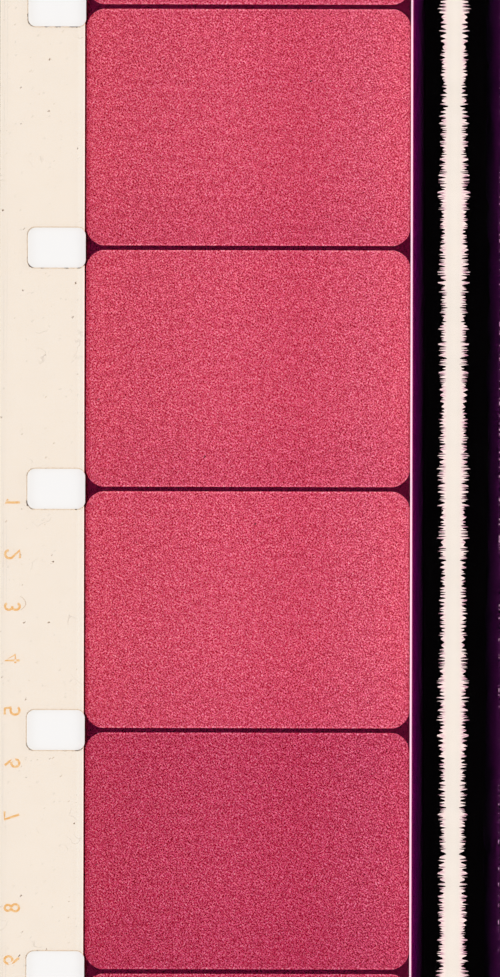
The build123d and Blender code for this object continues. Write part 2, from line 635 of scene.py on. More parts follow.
class Bench:
    """A material under work, with short calls for the nodes that the finishes share."""

    def __init__(self, name: str) -> None:
        """Starts an empty material.

        Args:
            name: The name of the material.
        """
        self.material = bpy.data.materials.new(name)
        self.material.use_nodes = True
        self.tree = self.material.node_tree
        self.tree.nodes.clear()

    def node(self, kind: str, **settings: object) -> bpy.types.Node:
        """Adds a node and sets its own settings.

        Args:
            kind: The type of the node.
            settings: The values of its settings by name.

        Returns:
            The new node.
        """
        made = self.tree.nodes.new(kind)
        for key, value in settings.items():
            setattr(made, key, value)
        return made

    def feed(self, socket: Socket, value: object) -> None:
        """Links a socket to another, or sets its value.

        Args:
            socket: The socket to feed.
            value: Another socket, or the value itself.
        """
        if isinstance(value, bpy.types.NodeSocket):
            self.tree.links.new(value, socket)
        else:
            socket.default_value = value

    def math(self, operation: str, *values: Value, clamp: bool = False) -> Socket:
        """A sum of one, two or three values.

        Args:
            operation: What is done with the values.
            values: The values or sockets.
            clamp: Keeps the result between 0 and 1.

        Returns:
            The result.
        """
        made = self.node("ShaderNodeMath", operation=operation, use_clamp=clamp)
        for socket, value in zip(made.inputs, values):
            self.feed(socket, value)
        return made.outputs[0]

    def place(self) -> tuple[Socket, Socket, Socket]:
        """The place on the film in millimetres: as a vector, and its X and Y.

        Returns:
            The vector, its X and its Y.
        """
        plan = self.node("ShaderNodeUVMap", uv_map="plan").outputs["UV"]
        parts = self.node("ShaderNodeSeparateXYZ")
        self.feed(parts.inputs[0], plan)
        return plan, parts.outputs["X"], parts.outputs["Y"]

    def noise(
        self, vector: Socket, size: float, detail: float = 2.0, stretch: Point = (1, 1), turn: float = 0.0
    ) -> Socket:
        """Cloudy noise.

        Args:
            vector: The place, in millimetres.
            size: The size of its clouds, in millimetres.
            detail: How many finer layers it has.
            stretch: How much longer the clouds are along X and along Y.
            turn: How far its grid is turned, in degrees.

        Returns:
            A value that is mostly between 0.3 and 0.7.
        """
        mapped = self.node("ShaderNodeMapping")
        self.feed(mapped.inputs["Vector"], vector)
        mapped.inputs["Scale"].default_value = (1 / stretch[0], 1 / stretch[1], 1)
        mapped.inputs["Rotation"].default_value = (0.0, 0.0, math.radians(turn))
        made = self.node("ShaderNodeTexNoise")
        self.feed(made.inputs["Vector"], mapped.outputs[0])
        made.inputs["Scale"].default_value = 1 / size
        made.inputs["Detail"].default_value = detail
        return made.outputs["Fac"]

    def specks(self, vector: Socket, spacing: float, radius: float, share: float, seed: float) -> Socket:
        """Small scattered spots.

        Args:
            vector: The place, in millimetres.
            spacing: The usual distance between the places where a spot may be, in millimetres.
            radius: The radius of the largest spots, in millimetres.
            share: The share of those places that hold a spot, from 0 to 1.
            seed: Moves the whole pattern, in millimetres.

        Returns:
            1 in a spot, falling to 0 at its rim.
        """
        made = self.node("ShaderNodeTexVoronoi", voronoi_dimensions="2D")
        moved = self.node("ShaderNodeVectorMath", operation="ADD")
        self.feed(moved.inputs[0], vector)
        moved.inputs[1].default_value = (seed, -seed, 0.0)
        self.feed(made.inputs["Vector"], moved.outputs[0])
        made.inputs["Scale"].default_value = 1 / spacing
        chance = self.node("ShaderNodeSeparateColor")
        self.feed(chance.inputs[0], made.outputs["Color"])
        picked = self.math("LESS_THAN", chance.outputs[0], share)
        size = self.math("MULTIPLY_ADD", chance.outputs[1], 0.7 * radius / spacing, 0.3 * radius / spacing)
        depth = self.math("DIVIDE", made.outputs["Distance"], size)
        spot = self.math("SUBTRACT", 1.0, self.math("POWER", depth, 2.0), clamp=True)
        return self.math("MULTIPLY", spot, picked)

    def ragged(self, vector: Socket) -> Socket:
        """The place moved a little to and fro, which makes round spots uneven.

        Args:
            vector: The place on the film, in millimetres.

        Returns:
            The moved place.
        """
        sway = self.math("SUBTRACT", self.noise(vector, 0.06, 1.0), 0.5)
        moved = self.node("ShaderNodeVectorMath", operation="ADD")
        self.feed(moved.inputs[0], vector)
        self.feed(moved.inputs[1], self.math("MULTIPLY", sway, 0.16))
        return moved.outputs[0]

    def zone(self, value: Value, edge: float, reach: Point) -> Socket:
        """A smooth step from 0 to 1 that lies by an edge."""
        return self.step(value, edge + reach[0], edge + reach[1])

    def step(self, value: Value, start: float, end: float, low: float = 0.0, high: float = 1.0) -> Socket:
        """A smooth step from low to high as the value goes from start to end.

        Args:
            value: The value to follow.
            start: Where the step starts.
            end: Where it ends.
            low: What it gives at its start.
            high: What it gives at its end.

        Returns:
            The stepped value.
        """
        made = self.node("ShaderNodeMapRange", interpolation_type="SMOOTHSTEP")
        for key, setting in zip(("Value", "From Min", "From Max", "To Min", "To Max"),
                                (value, start, end, low, high)):
            self.feed(made.inputs[key], setting)
        return made.outputs[0]

    def ramp(self, value: Socket, stops: Iterable[tuple[float, Colour]]) -> Socket:
        """A colour that depends on a value.

        Args:
            value: From 0 to 1.
            stops: The colours and where they lie.

        Returns:
            The colour.
        """
        stops = list(stops)
        made = self.node("ShaderNodeValToRGB")
        made.color_ramp.interpolation = "LINEAR"
        elements = made.color_ramp.elements
        while len(elements) < len(stops):
            elements.new(0.5)
        for element, (position, colour) in zip(elements, stops):
            element.position = position
            element.color = (*colour, 1)
        self.feed(made.inputs[0], value)
        return made.outputs["Color"]

    def times(self, first: object, second: object) -> Socket:
        """One colour multiplied by another.

        Args:
            first: A colour.
            second: Another colour.

        Returns:
            Their product.
        """
        made = self.node("ShaderNodeVectorMath", operation="MULTIPLY")
        self.feed(made.inputs[0], first)
        self.feed(made.inputs[1], second)
        return made.outputs[0]

    def tinted(self, colour: object, share: Value, tint: object) -> Socket:
        """A colour with a share of a tint laid over it."""
        return self.times(colour, self.mix(share, UNTINTED, tint))

    def along(self, y: Socket, middle: float, pitch: float) -> Socket:
        """How far the place is along the film from the nearest of some evenly spaced middles."""
        return self.math("WRAP", self.math("SUBTRACT", y, middle), pitch / 2, -pitch / 2)

    def mix(self, share: Value, first: object, second: object) -> Socket:
        """A colour between two others.

        Args:
            share: How much of the second there is, from 0 to 1.
            first: A colour.
            second: Another colour.

        Returns:
            The mixed colour.
        """
        made = self.node("ShaderNodeMix", data_type="RGBA")
        self.feed(made.inputs[0], share)
        for socket, colour in ((made.inputs[6], first), (made.inputs[7], second)):
            self.feed(socket, (*colour, 1) if isinstance(colour, tuple) else colour)
        return made.outputs[2]

    def outline_distance(
        self, x: Socket, y: Socket, ring: tuple[float, float, float, float, float], pitch: float
    ) -> Socket:
        """The distance to a rounded rectangle that repeats along the film.

        Args:
            x: The place across the film.
            y: The place along the film.
            ring: The X and Y of one middle, the width, the height and the corner radius.
            pitch: The distance from one to the next.

        Returns:
            Millimetres outside the nearest rectangle, and less than 0 inside it.
        """
        cx, cy, width, height, corner = ring
        across = self.math("ABSOLUTE", self.math("SUBTRACT", x, cx))
        across = self.math("SUBTRACT", across, width / 2 - corner)
        along = self.math("ABSOLUTE", self.along(y, cy, pitch))
        along = self.math("SUBTRACT", along, height / 2 - corner)
        outer = self.node("ShaderNodeCombineXYZ")
        self.feed(outer.inputs[0], self.math("MAXIMUM", across, 0.0))
        self.feed(outer.inputs[1], self.math("MAXIMUM", along, 0.0))
        length = self.node("ShaderNodeVectorMath", operation="LENGTH")
        self.feed(length.inputs[0], outer.outputs[0])
        inner = self.math("MINIMUM", self.math("MAXIMUM", across, along), 0.0)
        total = self.math("ADD", length.outputs["Value"], inner)
        return self.math("SUBTRACT", total, corner)

    def finish(self, shader: Socket) -> bpy.types.Material:
        """Ends the material with a shader.

        Args:
            shader: The shader of its surface.

        Returns:
            The finished material.
        """
        output = self.node("ShaderNodeOutputMaterial")
        self.feed(output.inputs["Surface"], shader)
        return self.material

    def see_through(self, tint: object) -> Socket:
        """A face inside the film that only tints the light that passes.

        Args:
            tint: What one passage leaves of the light.

        Returns:
            The shader.
        """
        made = self.node("ShaderNodeBsdfTransparent")
        self.feed(made.inputs["Color"], (*tint, 1) if isinstance(tint, tuple) else tint)
        return made.outputs[0]

    def glazed(self, under: Socket, roughness: Value, bump: Socket | None = None) -> Socket:
        """Puts the gloss of an outer face over a shader.

        Args:
            under: The shader below the gloss.
            roughness: How matt the gloss is.
            bump: Small heights on the face.

        Returns:
            The two together.
        """
        gloss = self.node("ShaderNodeBsdfAnisotropic")
        self.feed(gloss.inputs["Roughness"], roughness)
        if bump is not None:
            relief = self.node("ShaderNodeBump")
            relief.inputs["Strength"].default_value = 0.25
            relief.inputs["Distance"].default_value = 0.00001
            self.feed(relief.inputs["Height"], bump)
            self.feed(gloss.inputs["Normal"], relief.outputs[0])
        facing = self.node("ShaderNodeLayerWeight")
        facing.inputs["Blend"].default_value = 0.5
        glancing = self.math("POWER", facing.outputs["Facing"], 5.0)
        mirror = self.math("MULTIPLY_ADD", glancing, 0.6, 0.008)
        front = self.math("SUBTRACT", 1.0, self.node("ShaderNodeNewGeometry").outputs["Backfacing"])
        joined = self.node("ShaderNodeMixShader")
        self.feed(joined.inputs[0], self.math("MULTIPLY", mirror, front))
        self.feed(joined.inputs[1], under)
        self.feed(joined.inputs[2], gloss.outputs[0])
        return joined.outputs[0]


# ---------------------------------------------------------------- finishes


def face_share(whole: Colour, share: float) -> Colour:
    """The tint of one face of a coat that holds a share of the whole tint of the clear film."""
    return tuple(channel ** (share / 2) for channel in whole)


@dataclass(frozen=True)
class JoinFinish:
    """The unseen faces where one piece of a coat meets the next."""

    def make(self, plan: FilmPlan) -> bpy.types.Material:
        """Makes the material, which lets light pass unchanged."""
        bench = Bench("coat_join")
        return bench.finish(bench.see_through(UNTINTED))


@dataclass(frozen=True)
class BaseFinish:
    """The clear acetate base, faintly cream, with darker rims round its holes that are partly browned and
    partly painted shade.
    """

    outer: bool
    share: float = 0.5
    rim: float = 0.036
    rim_sway: float = 0.0288
    corner_widening: float = 0.35
    # Hole rims, partly browned and partly painted shade of the cut edge.
    rim_tint: Colour = (0.84, 0.71, 0.56)
    outer_rim_tint: Colour = (0.72, 0.60, 0.47)
    corner_tint: Colour = (0.40, 0.36, 0.32)
    # Painted shade along the film's edge, and a painted bright band beside it.
    edge_painted_light_tint: Colour = (0.70, 0.68, 0.65)
    beside_edge_painted_light_tint: Colour = (1.045, 1.045, 1.03)
    edge_painted_light_reach: Point = (0.034, 0.018)
    beside_edge_painted_light_reach: Point = (0.085, 0.055)
    dirt_tint: Colour = (0.16, 0.13, 0.12)

    def worn_corners(
        self, bench: Bench, hole: Perforation, vector: Socket, along: Socket, from_side: Socket
    ) -> Socket:
        """The outer corners of the holes, which the claw has worn dark, the lower ones most.

        Args:
            bench: The material under work.
            hole: The sizes of a hole.
            vector: The place on the film, in millimetres.
            along: How far the place is along the film from the middle of a hole.
            from_side: How far it is beyond the side of the holes by the edge.

        Returns:
            From 0 to 1.
        """
        off_middle, half = bench.math("ABSOLUTE", along), hole.height / 2
        corner = bench.step(off_middle, half - hole.corner * 1.2, half - hole.corner * 0.6)
        uneven = bench.step(bench.noise(vector, 0.16), 0.35, 0.55, 0.4, 1.0)
        lower = bench.step(along, 0.2, -0.2, 0.55, 1.0)
        for part in (bench.step(from_side, hole.corner, 0.1), lower, uneven):
            corner = bench.math("MULTIPLY", corner, part)
        return corner

    def rims(self, bench: Bench, plan: FilmPlan, vector: Socket, x: Socket, y: Socket) -> Socket:
        """The tint of the clean sheet with its darker hole rims, partly browned and partly painted shade, the
        dirt held there, and painted shade and a painted bright band at the film's edge.

        Args:
            bench: The material under work.
            plan: The plan of the film.
            vector: The place on the film, in millimetres.
            x: Its X.
            y: Its Y.

        Returns:
            The tint of one face.
        """
        hole = plan.perforation
        ring = (plan.perforation_x, plan.frame_line(2), hole.width, hole.height, hole.corner)
        away = bench.outline_distance(x, y, ring, plan.pitch)
        ragged = bench.math("MULTIPLY_ADD", bench.noise(vector, 0.05), 2 * self.rim_sway, -self.rim_sway)
        away = bench.math("ADD", away, ragged)
        along = bench.along(y, ring[1], plan.pitch)
        from_side = bench.math("SUBTRACT", x, ring[0] - hole.width / 2)
        corner = self.worn_corners(bench, hole, vector, along, from_side)
        away = bench.math("MULTIPLY_ADD", corner, -self.rim * self.corner_widening, away)
        # The rim round each hole is darker: partly browned debris, partly painted shade of the cut edge.
        browned_and_shaded = bench.step(away, self.rim * 1.2, self.rim * 0.2)
        outer = bench.step(from_side, 0.06, -0.02)
        brown_and_shade = bench.mix(outer, self.rim_tint, self.outer_rim_tint)
        brown_and_shade = bench.mix(corner, brown_and_shade, self.corner_tint)
        colour = bench.mix(browned_and_shaded, face_share(CLEAR_FILM, self.share), brown_and_shade)
        lower = bench.step(along, hole.height * 0.2, -hole.height * 0.5, 0.66, 0.53)
        caught = bench.math("SUBTRACT", bench.noise(vector, 0.30, 3.0), lower)
        dirty = bench.math("MULTIPLY", bench.step(caught, 0.0, 0.06), browned_and_shaded)
        colour = bench.mix(dirty, colour, self.dirt_tint)
        # Painted light at the film's edge: a painted bright band beside it and painted shade along the edge
        # itself.
        colour = bench.tinted(colour, bench.zone(x, plan.left, self.beside_edge_painted_light_reach), self.beside_edge_painted_light_tint)
        return bench.mix(bench.zone(x, plan.left, self.edge_painted_light_reach), colour, self.edge_painted_light_tint)

    def make(self, plan: FilmPlan) -> bpy.types.Material:
        """Makes the material of the inner or the outer faces of the base.

        Args:
            plan: The plan of the film.

        Returns:
            The finished material.
        """
        bench = Bench("acetate_outside" if self.outer else "acetate_inside")
        vector, x, y = bench.place()
        if not self.outer:
            return bench.finish(bench.see_through(self.rims(bench, plan, vector, x, y)))
        cloud = bench.noise(vector, 0.8, 3.0)
        clean = face_share(CLEAR_FILM, self.share)
        tint = bench.mix(bench.step(cloud, 0.4, 0.7), clean, tuple(c * 0.992 for c in clean))
        scratches = bench.noise(vector, 0.03, 2.0, (1, 60))
        roughness = bench.step(scratches, 0.35, 0.75, 0.06, 0.2)
        return bench.finish(bench.glazed(bench.see_through(tint), roughness, scratches))


@dataclass(frozen=True)
class CutEdgeFinish:
    """The slit and punched edges of the sheet, which are a little frosted."""

    tint: Colour = (0.80, 0.70, 0.56)
    frost: Colour = (0.70, 0.62, 0.50)

    def make(self, plan: FilmPlan) -> bpy.types.Material:
        """Makes the material.

        Args:
            plan: The plan of the film.

        Returns:
            The finished material.
        """
        bench = Bench("cut_edge")
        vector, _, _ = bench.place()
        tool_marks = bench.noise(vector, 0.02, 3.0)
        clear = bench.see_through(bench.mix(tool_marks, self.tint, face_share(CLEAR_FILM, 1.0)))
        frosted = bench.node("ShaderNodeBsdfDiffuse")
        bench.feed(frosted.inputs["Color"], bench.mix(tool_marks, self.frost, self.tint))
        joined = bench.node("ShaderNodeMixShader")
        bench.feed(joined.inputs[0], bench.step(tool_marks, 0.2, 0.9, 0.25, 0.55))
        bench.feed(joined.inputs[1], clear)
        bench.feed(joined.inputs[2], frosted.outputs[0])
        return bench.finish(bench.glazed(joined.outputs[0], 0.35, tool_marks))


@dataclass(frozen=True)
class GelatinFinish:
    """A thin coat of gelatin over the whole film, whose own dye has all but faded."""

    name: str
    share: float
    cloud_size: float
    depth: float

    def make(self, plan: FilmPlan) -> bpy.types.Material:
        """Makes the material, which is a weak and slightly cloudy tint.

        Args:
            plan: The plan of the film.

        Returns:
            The finished material.
        """
        bench = Bench(self.name)
        vector, _, _ = bench.place()
        thin = face_share(CLEAR_FILM, self.share * (1 - self.depth))
        thick = face_share(CLEAR_FILM, self.share * (1 + self.depth))
        cloud = bench.step(bench.noise(vector, self.cloud_size, 3.0), 0.3, 0.7)
        return bench.finish(bench.see_through(bench.mix(cloud, thin, thick)))


@dataclass(frozen=True)
class ClearGelatinFinish:
    """The undyed parts of the top coat: the margin with its dust, the clear line and the trace, with painted
    light that lifts the clear line, the trace's sides and the margin beside the pictures.
    """

    pale: Colour = dye(255, 250, 237)
    deep: Colour = dye(248, 231, 213)
    dust_tint: Colour = (0.50, 0.42, 0.36)
    fleck_tint: Colour = (0.86, 0.80, 0.74)
    fibre_tint: Colour = (0.93, 0.915, 0.90)
    faint_tint: Colour = (0.95, 0.94, 0.93)
    rub_tint: Colour = (0.975, 0.97, 0.965)
    # Painted light beside the pictures, and a painted bright halo at their edge.
    beside_painted_light_tint: Colour = (1.024, 1.042, 1.045)
    beside_painted_light_reach: Point = (-0.28, -0.15)
    edge_painted_light_tint: Colour = (1.095, 1.135, 1.135)
    edge_painted_light_reach: Point = (-0.052, -0.028)
    fringe_reach: Point = (-0.008, -0.004)
    # Painted light: beyond the pictures a little brighter than the clear film.
    slit_painted_light_tint: Colour = (1.015, 1.015, 1.015)
    # Painted light: the clear line is painted brighter than the clear film.
    line_painted_light_tint: Colour = (1.20, 1.10, 1.22)
    line_reach: Point = (-0.03, -0.01)
    line_rim_tint: Colour = dye(190, 80, 130)
    line_rim_reach: Point = (-0.027, -0.008)
    # Painted light on the trace's sides, brighter than the clear film.
    trace_painted_light_tint: Colour = (1.14, 1.06, 1.09)
    trace_painted_light_reach: Point = (0.14, 0.36)
    streak_tint: Colour = dye(209, 145, 168)
    streak_reach: Point = (0.18, 0.40)
    hair_width: float = 0.02

    def fibres(self, bench: Bench, vector: Socket) -> Socket:
        """Faint short curly fibres lying here and there: 1 on them and 0 elsewhere.

        Args:
            bench: The material under work.
            vector: The place on the film, in millimetres.

        Returns:
            From 0 to 1.
        """
        level = bench.math("ABSOLUTE", bench.math("SUBTRACT", bench.noise(vector, 0.55, 1.0), 0.5))
        thread = bench.step(level, 0.016, 0.004)
        return bench.math("MULTIPLY", thread, bench.specks(vector, 1.3, 0.42, 0.45, 11.0))

    def rubs(self, bench: Bench, plan: FilmPlan, vector: Socket, x: Socket) -> Socket:
        """Two faint lines that guides have rubbed along the edge: 1 on them and 0 elsewhere.

        Args:
            bench: The material under work.
            plan: The plan of the film.
            vector: The place on the film, in millimetres.
            x: Its X.

        Returns:
            From 0 to 1.
        """
        off = bench.math("ABSOLUTE", bench.math("SUBTRACT", x, plan.left + 0.20))
        off = bench.math("ABSOLUTE", bench.math("SUBTRACT", off, 0.05))
        worn = bench.step(bench.noise(vector, 0.3, 2.0, (1, 12)), 0.45, 0.6)
        return bench.math("MULTIPLY", bench.step(off, 0.022, 0.006), worn)

    def hair(self, bench: Bench, plan: FilmPlan, x: Socket, y: Socket) -> Socket:
        """One fine curved hair that lies on the margin: 1 on it and 0 elsewhere.

        Args:
            bench: The material under work.
            plan: The plan of the film.
            x: Its X.
            y: Its Y.

        Returns:
            From 0 to 1.
        """
        across = bench.math("SUBTRACT", x, plan.left + 0.86)
        along = bench.math("SUBTRACT", y, plan.frame_line(4) - 3.62)
        bow = bench.math("MULTIPLY", bench.math("MULTIPLY", along, along), 3.5)
        away = bench.math("ABSOLUTE", bench.math("ADD", across, bow))
        thread = bench.step(away, self.hair_width, self.hair_width * 0.3)
        ends = bench.step(bench.math("ABSOLUTE", along), 0.24, 0.18)
        return bench.math("MULTIPLY", thread, ends)

    def margin(self, bench: Bench, plan: FilmPlan, vector: Socket, x: Socket, y: Socket) -> Socket:
        """The margin with its rubs, fibres, specks and hair, lifted by painted light beside the pictures,
        with a painted bright halo at their edge.

        Args:
            bench: The material under work.
            plan: The plan of the film.
            vector: The place on the film, in millimetres.
            x: Its X.
            y: Its Y.

        Returns:
            The tint of one face.
        """
        cloud = bench.step(bench.noise(vector, 0.045, 2.0), 0.30, 0.70)
        margin = bench.mix(cloud, self.deep, self.pale)
        margin = bench.mix(self.rubs(bench, plan, vector, x), margin, self.rub_tint)
        margin = bench.mix(self.fibres(bench, vector), margin, self.fibre_tint)
        ragged = bench.ragged(vector)
        for spacing, radius, share, seed, tint in (
            (0.18, 0.045, 0.10, 1.0, self.faint_tint),
            (0.25, 0.028, 0.08, 3.0, self.fleck_tint),
            (0.8, 0.042, 0.30, 7.3, self.dust_tint),
        ):
            margin = bench.mix(bench.specks(ragged, spacing, radius, share, seed), margin, tint)
        margin = bench.mix(self.hair(bench, plan, x, y), margin, self.fleck_tint)
        # Painted light lifts the margin beside the pictures, and a painted bright halo lies at their edge.
        margin = bench.tinted(margin, bench.zone(x, plan.surround_left, self.beside_painted_light_reach), self.beside_painted_light_tint)
        margin = bench.mix(bench.zone(x, plan.surround_left, self.edge_painted_light_reach), margin, self.edge_painted_light_tint)
        return bench.mix(bench.zone(x, plan.surround_left, self.fringe_reach), margin, MARGIN_FRINGE)

    def track(self, bench: Bench, plan: FilmPlan, vector: Socket, x: Socket, colour: Socket) -> Socket:
        """Lays painted light on the trace's sides, which are painted brighter than the clear film, and their
        rosy streaks over the rest of the coat.

        Args:
            bench: The material under work.
            plan: The plan of the film.
            vector: The place on the film, in millimetres.
            x: Its X.
            colour: The tint of the rest of the coat.

        Returns:
            The tint of one face.
        """
        on_track = bench.step(x, plan.silver_left, plan.silver_left + 0.1)
        from_trace = bench.math("ABSOLUTE", bench.math("SUBTRACT", x, plan.trace_x))
        # Painted light: the trace's sides between the silver are painted brighter than the clear film.
        bright = bench.math("MULTIPLY", on_track, bench.step(from_trace, *self.trace_painted_light_reach))
        colour = bench.mix(bright, colour, self.trace_painted_light_tint)
        streaks = bench.step(bench.noise(vector, 0.05, 2.0, (6, 1)), 0.42, 0.64)
        streaks = bench.math("MULTIPLY", streaks, bench.step(from_trace, *self.streak_reach))
        return bench.mix(bench.math("MULTIPLY", on_track, streaks), colour, self.streak_tint)

    def make(self, plan: FilmPlan) -> bpy.types.Material:
        """Makes the material.

        Args:
            plan: The plan of the film.

        Returns:
            The finished material.
        """
        bench = Bench("clear_gelatin")
        vector, x, y = bench.place()
        beyond_pictures = bench.math("GREATER_THAN", x, plan.picture_right - 1)
        # Painted light: beyond the pictures the clear line and the trace are painted a little brighter than
        # the clear film.
        colour = bench.mix(beyond_pictures, self.margin(bench, plan, vector, x, y), self.slit_painted_light_tint)
        # Painted light: the clear line is painted brighter than the clear film.
        line = bench.zone(x, plan.picture_right, self.line_reach)
        line = bench.math("MULTIPLY", line, bench.step(x, plan.silver_left, plan.silver_left - 0.05))
        rim = bench.zone(x, plan.inner_band_left, self.line_rim_reach)
        colour = bench.mix(line, colour, bench.mix(rim, self.line_painted_light_tint, self.line_rim_tint))
        return bench.finish(bench.see_through(self.track(bench, plan, vector, x, colour)))


@dataclass(frozen=True)
class PictureFinish:
    """The magenta dye that is left of the pictures: a plain grainy field in every frame."""

    coarse_grain: float = 0.058
    fine_grain: float = 0.041
    grain_stops: tuple[tuple[float, Colour], ...] = (
        (0.32, dye(142, 3, 24)),
        (0.41, dye(181, 33, 60)),
        (0.50, dye(212, 75, 100)),
        (0.55, dye(230, 95, 120)),
        (0.60, dye(250, 115, 136)),
        (0.68, dye(255, 149, 168)),
    )
    tone_stops: tuple[tuple[float, Colour], ...] = (
        (0.0, (0.79, 0.70, 0.70)),
        (0.006, (0.89, 0.73, 0.78)),
        (0.010, (0.93, 0.80, 0.82)),
        (0.0165, (0.994, 1.024, 0.994)),
        (0.15, (0.985, 1.016, 1.003)),
        (0.44, (1.009, 1.059, 1.052)),
        (0.66, (0.988, 0.973, 0.996)),
        (0.87, (1.008, 1.09, 1.078)),
        (0.985, (1.042, 1.125, 1.09)),
    )
    tone_headroom: float = 0.8
    lower_tint: Colour = (0.975, 0.944, 0.969)
    lower_reach: Point = (-0.8, -3.6)
    left_rim_tint: Colour = (0.24, 0.14, 0.16)
    left_rim_reach: Point = (0.010, 0.006)
    right_rim_tint: Colour = (0.79, 0.65, 0.67)
    right_rim_reach: Point = (-0.10, -0.005)
    line_rim_tint: Colour = (0.57, 0.28, 0.36)
    line_rim_reach: Point = (-0.015, -0.005)
    dense_frames_from: int = 5
    dense_deep: Colour = (0.886, 0.665, 0.842)
    dense_pale: Colour = (0.930, 0.868, 0.908)
    dense_grain: Point = (0.39, 0.61)
    # A painted bright halo just inside the top and bottom of each picture.
    painted_halo: Colour = (1.12, 1.30, 1.22)
    painted_halo_start: Point = (-0.085, -0.045)
    painted_halo_end: Point = (0.0, -0.015)
    mottle_deep: Colour = (0.952, 0.885, 0.905)
    mottle_pale: Colour = (1.048, 1.115, 1.095)
    cast_blue: Colour = (1.0, 0.95, 1.04)
    cast_warm: Colour = (1.0, 1.05, 0.96)
    speck_tint: Colour = (0.35, 0.22, 0.24)

    def tone(self, bench: Bench, plan: FilmPlan, x: Socket, y: Socket, grain: Socket) -> Socket:
        """How much deeper or paler the dye is over each picture; its grain is stronger in dense frames, and a
        painted bright halo lies just inside its top and bottom.

        Args:
            bench: The material under work.
            plan: The plan of the film.
            x: Its X.
            y: Its Y.
            grain: The level of the grain, from 0 to 1.

        Returns:
            The tint of one face.
        """
        wide = plan.picture_right - plan.picture_left
        across = bench.math("DIVIDE", bench.math("SUBTRACT", x, plan.picture_left), wide)
        room = self.tone_headroom
        stops = [(where, tuple(level * room for level in tint)) for where, tint in self.tone_stops]
        tone = bench.times(bench.ramp(across, stops), (1 / room,) * 3)
        left_rim = bench.zone(x, plan.picture_left, self.left_rim_reach)
        tone = bench.mix(left_rim, tone, self.left_rim_tint)
        from_middle = bench.along(y, plan.frame_middle(1), plan.pitch)
        beyond = bench.math("SUBTRACT", bench.math("ABSOLUTE", from_middle), plan.picture_height / 2)
        # Painted light: a bright halo painted just inside the top and bottom of each picture.
        painted_halo = bench.step(beyond, *self.painted_halo_start)
        painted_halo = bench.math("MULTIPLY", painted_halo, bench.step(beyond, *self.painted_halo_end))
        denser = bench.mix(bench.step(grain, *self.dense_grain), self.dense_deep, self.dense_pale)
        for share, tint in (
            (bench.zone(x, plan.picture_right, self.right_rim_reach), self.right_rim_tint),
            (bench.step(from_middle, *self.lower_reach), self.lower_tint),
            (bench.zone(y, plan.frame_line(self.dense_frames_from), (0.02, -0.02)), denser),
            (painted_halo, self.painted_halo),
            (bench.step(beyond, *self.line_rim_reach), self.line_rim_tint),
        ):
            tone = bench.tinted(tone, share, tint)
        return tone

    def make(self, plan: FilmPlan) -> bpy.types.Material:
        """Makes the material.

        Args:
            plan: The plan of the film.

        Returns:
            The finished material.
        """
        bench = Bench("picture_dye")
        vector, x, y = bench.place()
        coarse = bench.noise(vector, self.coarse_grain, 1.0, turn=27)
        fine = bench.noise(vector, self.fine_grain, 1.0, turn=63)
        grain = bench.math("ADD", bench.math("MULTIPLY", coarse, 0.5), bench.math("MULTIPLY", fine, 0.5))
        tint = bench.times(bench.ramp(grain, self.grain_stops), self.tone(bench, plan, x, y, grain))
        mottle = bench.step(bench.noise(vector, 0.22, 3.0), 0.3, 0.7)
        tint = bench.times(tint, bench.mix(mottle, self.mottle_deep, self.mottle_pale))
        cast = bench.step(bench.noise(vector, 0.055, 1.0, turn=45), 0.3, 0.7)
        tint = bench.times(tint, bench.mix(cast, self.cast_blue, self.cast_warm))
        tint = bench.mix(bench.specks(bench.ragged(vector), 1.7, 0.05, 0.10, 5.0), tint, self.speck_tint)
        return bench.finish(bench.see_through(tint))


@dataclass(frozen=True)
class SurroundFinish:
    """The dark dye round the pictures and in the frame lines between them."""

    deep: Colour = dye(66, 4, 28)
    thin: Colour = dye(88, 13, 42)
    left_line: Colour = dye(50, 2, 6)
    fringe_reach: Point = (0.006, 0.002)

    def make(self, plan: FilmPlan) -> bpy.types.Material:
        """Makes the material.

        Args:
            plan: The plan of the film.

        Returns:
            The finished material.
        """
        bench = Bench("dark_dye")
        vector, x, _ = bench.place()
        grain = bench.step(bench.noise(vector, 0.05, 1.0), 0.25, 0.75)
        tint = bench.mix(grain, self.deep, self.thin)
        left = bench.step(x, plan.picture_left + 0.14, plan.surround_left + 0.03)
        tint = bench.mix(left, tint, self.left_line)
        fringe = bench.zone(x, plan.surround_left, self.fringe_reach)
        return bench.finish(bench.see_through(bench.mix(fringe, tint, MARGIN_FRINGE)))


@dataclass(frozen=True)
class SilverFinish:
    """The dense silver of the sound track."""

    def make(self, plan: FilmPlan) -> bpy.types.Material:
        """Makes the material, which is opaque and almost black.

        Args:
            plan: The plan of the film.

        Returns:
            The finished material.
        """
        bench = Bench("track_silver")
        vector, _, _ = bench.place()
        grain = bench.noise(vector, 0.03, 2.0)
        made = bench.node("ShaderNodeBsdfPrincipled")
        shade = bench.mix(grain, (0.0003, 0.0002, 0.0003), (0.0014, 0.0009, 0.0012))
        bench.feed(made.inputs["Base Color"], shade)
        bench.feed(made.inputs["Roughness"], bench.step(grain, 0.3, 0.7, 0.5, 0.7))
        made.inputs["Specular IOR Level"].default_value = 0.0
        return bench.finish(made.outputs[0])


